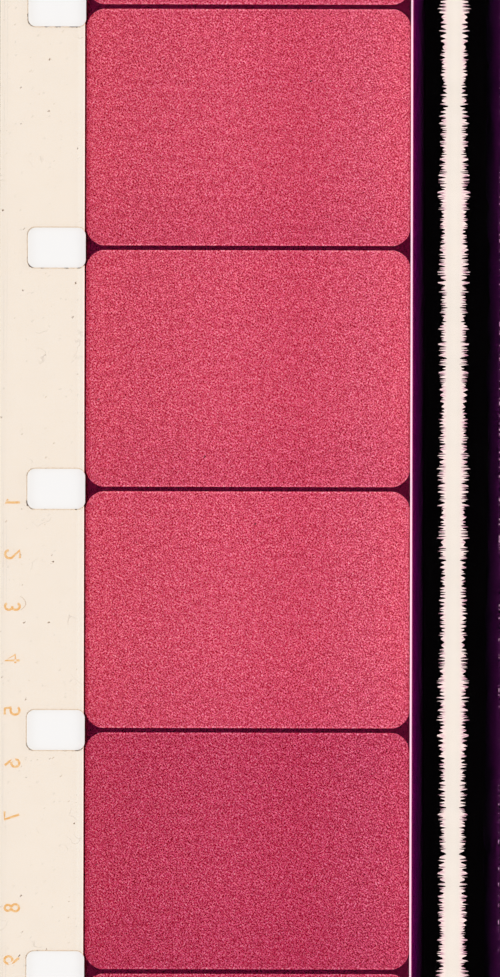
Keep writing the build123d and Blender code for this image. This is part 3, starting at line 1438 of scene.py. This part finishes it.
@dataclass(frozen=True)
class TrackDyeFinish:
    """The bands of dye on each side of the silver, purple at their thin edges."""

    inner_stops: tuple[tuple[float, Colour], ...] = (
        (0.0, dye(92, 2, 65)),
        (0.10, dye(79, 2, 57)),
        (0.26, dye(58, 1, 51)),
        (0.47, dye(46, 3, 42)),
        (0.72, dye(27, 4, 26)),
        (0.95, dye(5, 0, 4)),
    )
    outer_stops: tuple[tuple[float, Colour], ...] = (
        (0.0, dye(8, 2, 10)),
        (0.07, dye(14, 3, 16)),
        (0.17, dye(21, 3, 23)),
        (0.35, dye(31, 3, 31)),
        (0.54, dye(36, 3, 34)),
        (0.63, dye(46, 10, 44)),
        (1.0, dye(54, 16, 51)),
    )
    nick_tint: Colour = dye(208, 168, 195)

    def make(self, plan: FilmPlan) -> bpy.types.Material:
        """Makes the material.

        Args:
            plan: The plan of the film.

        Returns:
            The finished material.
        """
        bench = Bench("track_dye")
        vector, x, _ = bench.place()
        wander = bench.math("SUBTRACT", bench.noise(vector, 0.12, 2.0), 0.5)

        def along(start: float, end: float, sway: float) -> Socket:
            """How far the place is from start to end, a little unevenly."""
            share = bench.math("DIVIDE", bench.math("SUBTRACT", x, start), end - start)
            return bench.math("MULTIPLY_ADD", wander, sway, share)

        inner = bench.ramp(along(plan.inner_band_left, plan.silver_left, 0.16), self.inner_stops)
        outer = along(plan.silver_right, plan.right, 0.10)
        waves = bench.math("SUBTRACT", bench.noise(vector, 1.4, 2.0), 0.5)
        waves = bench.math("MULTIPLY", waves, bench.step(outer, 0.50, 0.30, 0.0, 0.45))
        outer = bench.ramp(bench.math("ADD", outer, waves), self.outer_stops)
        off_line = bench.math("ABSOLUTE", bench.math("SUBTRACT", x, plan.right - 0.132))
        nicks = bench.step(bench.noise(vector, 0.15, 1.0, (3, 1)), 0.555, 0.68)
        nicks = bench.math("MULTIPLY", nicks, bench.step(off_line, 0.022, 0.008))
        outer = bench.mix(nicks, outer, self.nick_tint)
        side = bench.math("GREATER_THAN", x, plan.trace_x)
        return bench.finish(bench.see_through(bench.mix(side, inner, outer)))


@dataclass(frozen=True)
class EdgePrintFinish:
    """The soft orange print of the margin numbers."""

    thin: Colour = dye(250, 205, 152)
    deep: Colour = dye(239, 171, 98)

    def make(self, plan: FilmPlan) -> bpy.types.Material:
        """Makes the material.

        Args:
            plan: The plan of the film.

        Returns:
            The finished material.
        """
        bench = Bench("edge_dye")
        vector, _, _ = bench.place()
        grain = bench.step(bench.noise(vector, 0.09, 2.0), 0.28, 0.66)
        return bench.finish(bench.see_through(bench.mix(grain, self.thin, self.deep)))


@dataclass(frozen=True)
class OvercoatFinish:
    """The hard clear coat on top, glossy, with fine scratches along the film."""

    def make(self, plan: FilmPlan) -> bpy.types.Material:
        """Makes the material.

        Args:
            plan: The plan of the film.

        Returns:
            The finished material.
        """
        bench = Bench("overcoat")
        vector, _, _ = bench.place()
        scratches = bench.noise(vector, 0.025, 3.0, (1, 80))
        rubbed = bench.noise(vector, 0.9, 3.0, (1, 3))
        marks = bench.math("MULTIPLY_ADD", rubbed, 0.35, bench.math("MULTIPLY", scratches, 0.65))
        roughness = bench.step(marks, 0.35, 0.7, 0.04, 0.18)
        clear = bench.see_through(face_share(CLEAR_FILM, 0.03))
        return bench.finish(bench.glazed(clear, roughness, scratches))


# ---------------------------------------------------------------- the coats of the film


@dataclass
class Coat:
    """A kind of region in one coat of the film, which is drawn stretch by stretch.

    The faces of its materials are, in order: the top and the underside, the walls where it meets
    its neighbours, and, where they are given, the underside and the outer walls.
    """

    plan: FilmPlan
    kind: str
    slot: str
    level: int
    outline: Outline
    materials: list[bpy.types.Material]
    clearance: float = 0.0003
    seam: float = 0.002

    def slot_number(self, stretch: Stretch, side: Face, middle: np.ndarray) -> int:
        """The number of the material on a face.

        Args:
            stretch: The stretch that the face is part of.
            side: Which side of the coat it is on.
            middle: Its middle in plan, in millimetres.

        Returns:
            The number of the slot.
        """
        if side is Face.TOP:
            return 0
        if side is Face.BOTTOM:
            return 2 if len(self.materials) > 2 else 0
        at_join = any(
            abs(middle[1] - y) < self.seam and self.plan.bottom + 1 < y < self.plan.top - 1
            for y in (stretch.bottom, stretch.top)
        )
        return 1 if at_join or len(self.materials) < 3 else 3

    def nodes(self, stretch: Stretch) -> list[str]:
        """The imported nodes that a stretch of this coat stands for."""
        names = [f"{self.kind}_{number}" for number in stretch.frames]
        return [name for name in names if name in frame["nodes"]]

    def build(self, stretches: list[Stretch]) -> None:
        """Builds every stretch of the coat.

        Args:
            stretches: The stretches of the film.
        """
        cuts = sorted({y for stretch in stretches for y in stretch.cuts()})
        sheet = Cutting.of(self.outline, cuts)
        low = self.plan.levels[self.level] + self.clearance
        high = self.plan.levels[self.level + 1] - self.clearance
        for stretch in stretches:
            triangles = sheet.between(stretch.bottom, stretch.top)
            nodes = self.nodes(stretch)
            if not len(triangles) or not nodes:
                continue
            name = f"{self.kind}_stretch_{stretch.number}"
            piece = slab(
                name, sheet.points, triangles, low, high,
                lambda side, middle: self.slot_number(stretch, side, middle),
            )
            for material in self.materials:
                piece.data.materials.append(material)
            stretch.bind(piece)
            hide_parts(*nodes)
            log.info("%s: %d faces, for %s", name, len(piece.data.polygons), ", ".join(nodes))


@dataclass
class FilmStrip:
    """The whole strip: its base and its coats, from the underside up."""

    plan: FilmPlan
    silver_step: float = 0.06
    silver_inset: float = 0.085
    bulge_pitch: float = 1.55
    bulge_reach: float = 0.095
    silver_drift: tuple[Wave, ...] = ((0.02, 0.9, 2.0), (0.04, 0.2, 1.2))

    def film(self) -> Ring:
        """The outline of the strip."""
        return rectangle(self.plan.left, self.plan.right, self.plan.bottom, self.plan.top)

    def perforations(self) -> list[Ring]:
        """The outlines of the perforations, with a half at each end of the strip.

        Returns:
            One ring for each hole.
        """
        hole, plan = self.plan.perforation, self.plan
        return [
            rounded(plan.perforation_x, plan.frame_line(number), hole.width, hole.height, hole.corner)
            for number in range(1, plan.frames + 2)
        ]

    def pictures(self) -> list[Ring]:
        """The outlines of the pictures.

        Returns:
            One ring for each picture.
        """
        plan = self.plan
        middle, width = (plan.picture_left + plan.picture_right) / 2, plan.picture_right - plan.picture_left
        return [
            rounded(middle, plan.frame_middle(number), width, plan.picture_height, plan.picture_corner)
            for number in range(1, plan.frames + 1)
        ]

    def silver_edge(self) -> list[Point]:
        """The uneven outer edge of the silver, from the bottom up.

        Returns:
            The points of the edge.
        """
        plan, points = self.plan, []
        count = round((plan.top - plan.bottom) / self.silver_step)
        for index in range(count + 1):
            y = plan.bottom + (plan.top - plan.bottom) * index / count
            bulge, part = divmod(y - plan.bottom, self.bulge_pitch)
            middle = self.bulge_pitch * (0.3 + 0.4 * wobble(int(bulge), 6))
            half = 0.12 + 0.22 * wobble(int(bulge), 7)
            out = self.bulge_reach * wobble(int(bulge), 8) * math.exp(-(((part - middle) / half) ** 2))
            slow = sway(y, self.silver_drift)
            points.append((plan.silver_right - self.silver_inset + slow + out, y))
        return points

    def base(self, join: bpy.types.Material) -> Coat:
        """The acetate base.

        Args:
            join: The material of the faces between neighbouring pieces.

        Returns:
            The coat of the base.
        """
        inside, outside = BaseFinish(outer=False).make(self.plan), BaseFinish(outer=True).make(self.plan)
        faces = [inside, join, outside, CutEdgeFinish().make(self.plan)]
        whole = Outline([self.film()], self.perforations())
        return Coat(self.plan, "support", "acetate", 0, whole, faces)

    def whole_coats(self, join: bpy.types.Material) -> list[Coat]:
        """The coats that cover the whole film: the two faded dye coats and the overcoat.

        Args:
            join: The material of the faces between neighbouring pieces.

        Returns:
            The coats, from the underside up.
        """
        whole = Outline([self.film()], self.perforations())
        yellow = GelatinFinish("yellow_gelatin", share=0.35, cloud_size=0.5, depth=0.12)
        cyan = GelatinFinish("cyan_gelatin", share=0.10, cloud_size=0.2, depth=0.2)
        return [
            Coat(self.plan, "yellow_coat", "yellow_gelatin", 1, whole, [yellow.make(self.plan), join]),
            Coat(self.plan, "cyan_coat", "cyan_gelatin", 2, whole, [cyan.make(self.plan), join]),
            Coat(self.plan, "overcoat", "overcoat", 4, whole, [OvercoatFinish().make(self.plan), join]),
        ]

    def top_dye_coat(self, join: bpy.types.Material) -> list[Coat]:
        """The regions of the top dye coat.

        Args:
            join: The material of the faces between neighbouring pieces.

        Returns:
            One coat for each kind of region.
        """
        plan = self.plan
        top, bottom = plan.top, plan.bottom
        pictures, holes = self.pictures(), self.perforations()
        trace, digits = SoundTrace(plan).ring(), MarginNumbers(plan).rings()
        edge = self.silver_edge()
        margin = rectangle(plan.left, plan.surround_left, bottom, top)
        line = rectangle(plan.picture_right, plan.inner_band_left, bottom, top)
        surround = rectangle(plan.surround_left, plan.picture_right, bottom, top)
        inner_band = rectangle(plan.inner_band_left, plan.silver_left, bottom, top)
        silver = [(plan.silver_left, bottom), *edge, (plan.silver_left, top)]
        outer_band = [(plan.right, bottom), (plan.right, top), *edge[::-1]]
        regions = [
            ("picture", "picture_dye", Outline(pictures), PictureFinish()),
            ("surround", "dark_dye", Outline([surround], pictures + holes), SurroundFinish()),
            ("clear_gelatin", "clear_gelatin", Outline([margin, line, trace], holes + digits),
             ClearGelatinFinish()),
            ("silver_track", "track_silver", Outline([silver], [trace]), SilverFinish()),
            ("track_dye", "track_dye", Outline([inner_band, outer_band]), TrackDyeFinish()),
            ("edge_numbers", "edge_dye", Outline(digits), EdgePrintFinish()),
        ]
        return [
            Coat(plan, kind, slot, 3, outline, [finish.make(plan), join])
            for kind, slot, outline, finish in regions
        ]

    def build(self) -> None:
        """Builds every coat."""
        join = JoinFinish().make(self.plan)
        stretches = Stretch.all_of(self.plan)
        for coat in [self.base(join), *self.whole_coats(join), *self.top_dye_coat(join)]:
            coat.build(stretches)


# ---------------------------------------------------------------- studio


@dataclass(frozen=True)
class Studio:
    """The pale opal light table that the film lies on, with soft lamps off to its sides."""

    table_size: float = 1.2
    below: float = 0.00002
    clear_depth: float = 0.04
    clear_rays: int = 64
    lamp_height: float = 1.65
    lamp_reach: float = 2.25
    lamp_size: float = 1.5
    lamp_power: float = 40.5

    def table_material(self) -> bpy.types.Material:
        """The opal glass: it glows, takes a soft shadow and is clear wherever film hangs below it.

        Returns:
            The finished material.
        """
        bench = Bench("light_table")
        path = bench.node("ShaderNodeLightPath")
        near = bench.node("ShaderNodeAmbientOcclusion", inside=True, samples=self.clear_rays)
        near.inputs["Distance"].default_value = self.clear_depth
        hangs = bench.step(near.outputs["AO"], 1.0, 1 - 1 / self.clear_rays)
        under = bench.node("ShaderNodeNewGeometry").outputs["Backfacing"]
        clear = bench.math("MAXIMUM", hangs, under)
        share = bench.math("MULTIPLY_ADD", clear, 1 - TABLE_GLOW, TABLE_GLOW)
        pale = bench.node("ShaderNodeBsdfDiffuse")
        pale.inputs["Color"].default_value = (*LIGHT_TABLE, 1)
        glow = bench.node("ShaderNodeBsdfTransparent")
        joined = bench.node("ShaderNodeMixShader")
        bench.feed(joined.inputs[0], bench.math("MULTIPLY", path.outputs["Is Camera Ray"], share))
        bench.feed(joined.inputs[1], pale.outputs[0])
        bench.feed(joined.inputs[2], glow.outputs[0])
        return bench.finish(joined.outputs[0])

    def table(self) -> None:
        """Lays the table just under the film."""
        half, z = self.table_size / 2, -self.below
        mesh = bpy.data.meshes.new("light_table")
        steps = 8
        line = [half * (2 * step / steps - 1) for step in range(steps + 1)]
        corners = [(x, y, z) for y in line for x in line]
        wide = steps + 1
        faces = [
            (row * wide + col, row * wide + col + 1, (row + 1) * wide + col + 1, (row + 1) * wide + col)
            for row in range(steps) for col in range(steps)
        ]
        mesh.from_pydata(corners, [], faces)
        mesh.materials.append(self.table_material())
        table = bpy.data.objects.new("light_table", mesh)
        bpy.context.scene.collection.objects.link(table)

    def lamps(self) -> None:
        """Hangs a soft lamp on each side, where a face that looks straight up doesn't mirror it."""
        for name, side, share in (("lamp_left", -1, 1.0), ("lamp_right", 1, 0.8)):
            light = bpy.data.lights.new(name, "AREA")
            light.shape = "RECTANGLE"
            light.size = light.size_y = self.lamp_size
            light.energy = self.lamp_power * share
            lamp = bpy.data.objects.new(name, light)
            lamp.location = (side * self.lamp_reach, 0.2 * side * self.lamp_reach, self.lamp_height)
            lamp.rotation_euler = (-lamp.location).to_track_quat("-Z", "Y").to_euler()
            bpy.context.scene.collection.objects.link(lamp)

    def world(self) -> None:
        """A pale surrounding, which is dim overhead for what the glossy faces mirror."""
        world = bpy.data.worlds.new("studio")
        world.use_nodes = True
        tree = world.node_tree
        tree.nodes.clear()
        new, link = tree.nodes.new, tree.links.new
        path, place = new("ShaderNodeLightPath"), new("ShaderNodeTexCoord")
        parts = new("ShaderNodeSeparateXYZ")
        link(place.outputs["Generated"], parts.inputs[0])
        dome = new("ShaderNodeValToRGB")
        dome.color_ramp.elements[0].position = 0.25
        dome.color_ramp.elements[0].color = (0.85, 0.84, 0.83, 1)
        dome.color_ramp.elements[1].position = 0.9
        dome.color_ramp.elements[1].color = (0.0, 0.0, 0.0, 1)
        link(parts.outputs["Z"], dome.inputs[0])
        plain = new("ShaderNodeMix")
        plain.data_type = "RGBA"
        plain.inputs[6].default_value = (0.55, 0.55, 0.55, 1)
        link(path.outputs["Is Glossy Ray"], plain.inputs[0])
        link(dome.outputs[0], plain.inputs[7])
        seen = new("ShaderNodeMix")
        seen.data_type = "RGBA"
        seen.inputs[7].default_value = (*LIGHT_TABLE, 1)
        link(path.outputs["Is Camera Ray"], seen.inputs[0])
        link(plain.outputs[2], seen.inputs[6])
        background, output = new("ShaderNodeBackground"), new("ShaderNodeOutputWorld")
        link(seen.outputs[2], background.inputs[0])
        link(background.outputs[0], output.inputs[0])
        bpy.context.scene.world = world

    def build(self) -> None:
        """Builds the table, the lamps and the surrounding."""
        self.table()
        self.lamps()
        self.world()
        scene = bpy.context.scene
        scene.view_settings.view_transform = "Standard"
        scene.cycles.transparent_max_bounces = 64


@dataclass(frozen=True)
class CopyCamera:
    """A camera on a copy stand, looking straight down with a long lens."""

    view_height: float = 0.03088
    lens: float = 300.0
    sensor: float = 36.0
    turn: float = math.radians(0.123)
    across: float = -0.000037
    along: float = 0.000022

    def build(self) -> None:
        """Hangs the camera over the middle of the strip."""
        made = bpy.data.cameras.new("copy_camera")
        made.lens, made.sensor_width = self.lens, self.sensor
        distance = self.view_height * self.lens / self.sensor
        made.clip_start, made.clip_end = 0.01, 10.0
        camera = bpy.data.objects.new("copy_camera", made)
        camera.location = (self.across, self.along, distance)
        camera.rotation_euler = (0.0, 0.0, self.turn)
        bpy.context.scene.collection.objects.link(camera)
        bpy.context.scene.camera = camera


def corners(box: tuple[Vector, Vector]) -> list[list[float]]:
    """The two corners of a box as plain lists."""
    return [[float(value) for value in corner] for corner in box]


def main() -> None:
    """Builds the film, the studio and the camera."""
    logging.basicConfig(level=logging.INFO, format="%(message)s")
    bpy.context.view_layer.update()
    plan = FilmPlan.read()
    log.info("film %.2f x %.2f mm", plan.right - plan.left, plan.top - plan.bottom)
    FilmStrip(plan).build()
    Studio().build()
    CopyCamera().build()
    bpy.context.view_layer.update()


if __name__ == "__main__":
    main()
